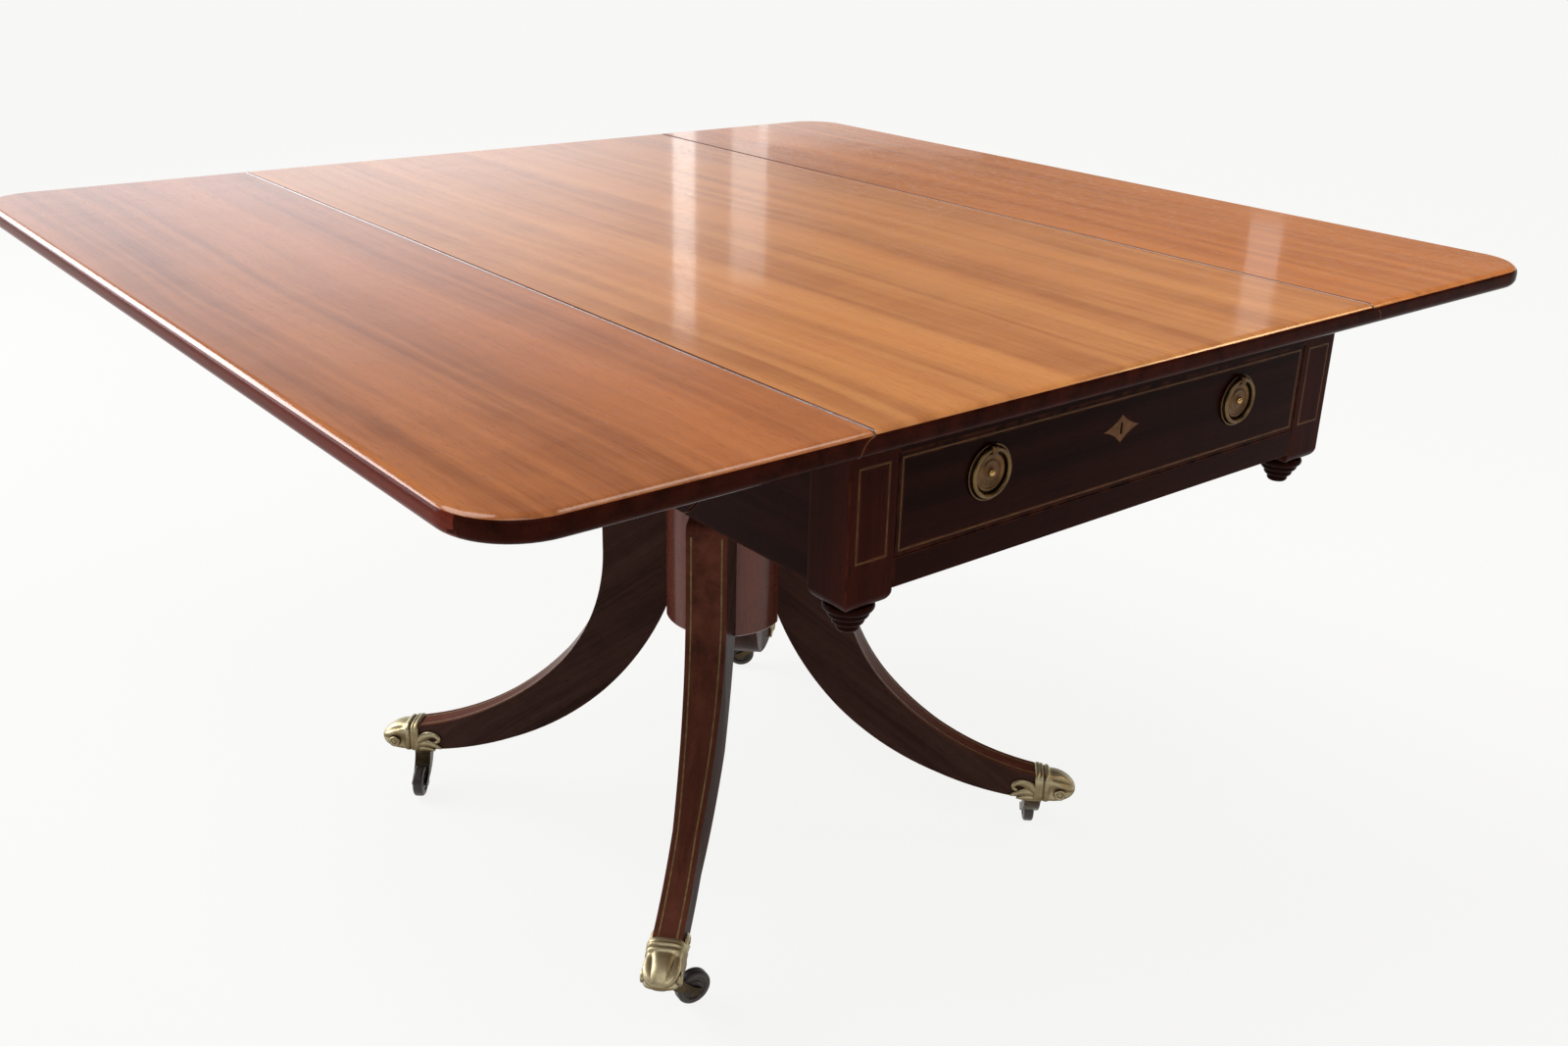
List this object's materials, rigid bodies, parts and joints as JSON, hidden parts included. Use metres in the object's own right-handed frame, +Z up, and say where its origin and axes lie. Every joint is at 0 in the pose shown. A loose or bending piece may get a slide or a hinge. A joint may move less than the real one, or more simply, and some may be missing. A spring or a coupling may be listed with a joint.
{
  "type": "pembroke table",
  "caption": "Pedestal pembroke table with drop leaves, a drawer, ring pulls and sabre legs on brass castors",
  "frame": {"origin": "on the floor, under the middle of the column", "axes": "+X across the two leaves, -Y towards the drawer front, +Z up"},
  "size_m": [1.222, 1.16, 0.725],
  "materials": {
    "top_mahogany": "French-polished mahogany with a warm honey tone",
    "dark_mahogany": "dark polished mahogany",
    "oak_lining": "bare oak and pine, aged",
    "inlay": "boxwood lines, darkened by polish",
    "brass": "aged brass, rubbed bright on the high spots",
    "iron": "dark iron wire",
    "wheel": "near-black turned wheel"
  },
  "bodies": {
    "frame": {"top_centre": "top_mahogany", "hinge_top_plates": "brass", "hinge_pins": "brass", "post_front_left": "dark_mahogany", "post_front_right": "dark_mahogany", "post_back_left": "dark_mahogany", "post_back_right": "dark_mahogany", "corner_drops": "dark_mahogany", "side_rail_left": "oak_lining", "side_rail_right": "oak_lining", "fly_rail_left": "dark_mahogany", "fly_rail_right": "dark_mahogany", "fly_pins": "iron", "drawer_rail_top": "dark_mahogany", "drawer_rail_bottom": "dark_mahogany", "back_rail": "dark_mahogany", "drawer_runners": "oak_lining", "drawer_kickers": "oak_lining", "frame_stringing": "inlay", "back_pull_plates": "brass", "pedestal_bearers": "oak_lining", "pedestal_block": "oak_lining", "pedestal_column": "dark_mahogany", "leg_front_left": "dark_mahogany", "leg_front_right": "dark_mahogany", "leg_back_left": "dark_mahogany", "leg_back_right": "dark_mahogany", "leg_stringing": "inlay", "castor_caps": "brass"},
    "leaf_left_body": {"leaf_left": "top_mahogany", "hinge_leaf_plates_left": "brass"},
    "leaf_right_body": {"leaf_right": "top_mahogany", "hinge_leaf_plates_right": "brass"},
    "drawer": {"drawer_front": "dark_mahogany", "drawer_side_left": "oak_lining", "drawer_side_right": "oak_lining", "drawer_back": "oak_lining", "drawer_bottom": "oak_lining", "drawer_stringing": "inlay", "drawer_escutcheon": "inlay", "drawer_lock": "brass", "drawer_pull_plates": "brass"},
    "bolt": {"lock_bolt": "brass"},
    "bracket_front_left": {"fly_bracket_front_left": "dark_mahogany"},
    "bracket_front_right": {"fly_bracket_front_right": "dark_mahogany"},
    "bracket_back_left": {"fly_bracket_back_left": "dark_mahogany"},
    "bracket_back_right": {"fly_bracket_back_right": "dark_mahogany"},
    "ring_front_left": {"pull_ring_front_left": "brass"},
    "ring_front_right": {"pull_ring_front_right": "brass"},
    "ring_back_left": {"pull_ring_back_left": "brass"},
    "ring_back_right": {"pull_ring_back_right": "brass"},
    "castor_front_left": {"castor_horn_front_left": "brass"},
    "wheel_front_left": {"castor_wheel_front_left": "wheel"},
    "castor_front_right": {"castor_horn_front_right": "brass"},
    "wheel_front_right": {"castor_wheel_front_right": "wheel"},
    "castor_back_left": {"castor_horn_back_left": "brass"},
    "wheel_back_left": {"castor_wheel_back_left": "wheel"},
    "castor_back_right": {"castor_horn_back_right": "brass"},
    "wheel_back_right": {"castor_wheel_back_right": "wheel"}
  },
  "joints": [
    {"name": "leaf_left_drop", "type": "hinge", "parent": "frame", "child": "leaf_left_body", "pos_m": [-0.306, 0, 0.708], "axis": [0, -1, 0], "range_deg": [0, 90]},
    {"name": "leaf_right_drop", "type": "hinge", "parent": "frame", "child": "leaf_right_body", "pos_m": [0.306, 0, 0.708], "axis": [0, 1, 0], "range_deg": [0, 90]},
    {"name": "fly_bracket_front_left_swing", "type": "hinge", "parent": "frame", "child": "bracket_front_left", "pos_m": [-0.287, -0.15, 0.6425], "axis": [0, 0, 1], "range_deg": [-90, 0]},
    {"name": "fly_bracket_front_right_swing", "type": "hinge", "parent": "frame", "child": "bracket_front_right", "pos_m": [0.287, -0.15, 0.6425], "axis": [0, 0, -1], "range_deg": [-90, 0]},
    {"name": "fly_bracket_back_left_swing", "type": "hinge", "parent": "frame", "child": "bracket_back_left", "pos_m": [-0.287, 0.15, 0.6425], "axis": [0, 0, -1], "range_deg": [-90, 0]},
    {"name": "fly_bracket_back_right_swing", "type": "hinge", "parent": "frame", "child": "bracket_back_right", "pos_m": [0.287, 0.15, 0.6425], "axis": [0, 0, 1], "range_deg": [-90, 0]},
    {"name": "drawer_slide", "type": "slide", "parent": "frame", "child": "drawer", "axis": [0, -1, 0], "range_m": [0, 0.42]},
    {"name": "lock_bolt_rise", "type": "slide", "parent": "drawer", "child": "bolt", "axis": [0, 0, 1], "range_m": [0, 0.006]},
    {"name": "pull_ring_front_left_swing", "type": "hinge", "parent": "drawer", "child": "ring_front_left", "pos_m": [-0.157, -0.551, 0.6723], "axis": [-1, 0, 0], "range_deg": [0, 90]},
    {"name": "pull_ring_front_right_swing", "type": "hinge", "parent": "drawer", "child": "ring_front_right", "pos_m": [0.157, -0.551, 0.6723], "axis": [-1, 0, 0], "range_deg": [0, 90]},
    {"name": "pull_ring_back_left_swing", "type": "hinge", "parent": "frame", "child": "ring_back_left", "pos_m": [-0.157, 0.5516, 0.6723], "axis": [1, 0, 0], "range_deg": [0, 90]},
    {"name": "pull_ring_back_right_swing", "type": "hinge", "parent": "frame", "child": "ring_back_right", "pos_m": [0.157, 0.5516, 0.6723], "axis": [1, 0, 0], "range_deg": [0, 90]},
    {"name": "castor_front_left_swivel", "type": "hinge", "parent": "frame", "child": "castor_front_left", "pos_m": [-0.2687, -0.2687, 0.053], "axis": [0, 0, 1], "continuous": true},
    {"name": "castor_front_left_roll", "type": "hinge", "parent": "castor_front_left", "child": "wheel_front_left", "pos_m": [-0.23986, -0.27173, 0.019], "axis": [0.1045, 0.9945, 0], "continuous": true},
    {"name": "castor_front_right_swivel", "type": "hinge", "parent": "frame", "child": "castor_front_right", "pos_m": [0.2687, -0.2687, 0.053], "axis": [0, 0, 1], "continuous": true},
    {"name": "castor_front_right_roll", "type": "hinge", "parent": "castor_front_right", "child": "wheel_front_right", "pos_m": [0.2881, -0.24715, 0.019], "axis": [-0.7431, 0.6691, 0], "continuous": true},
    {"name": "castor_back_left_swivel", "type": "hinge", "parent": "frame", "child": "castor_back_left", "pos_m": [-0.2687, 0.2687, 0.053], "axis": [0, 0, 1], "continuous": true},
    {"name": "castor_back_left_roll", "type": "hinge", "parent": "castor_back_left", "child": "wheel_back_left", "pos_m": [-0.28734, 0.24649, 0.019], "axis": [0.766, -0.6428, 0], "continuous": true},
    {"name": "castor_back_right_swivel", "type": "hinge", "parent": "frame", "child": "castor_back_right", "pos_m": [0.2687, 0.2687, 0.053], "axis": [0, 0, 1], "continuous": true},
    {"name": "castor_back_right_roll", "type": "hinge", "parent": "castor_back_right", "child": "wheel_back_right", "pos_m": [0.24649, 0.28734, 0.019], "axis": [-0.6428, -0.766, 0], "continuous": true}
  ]
}
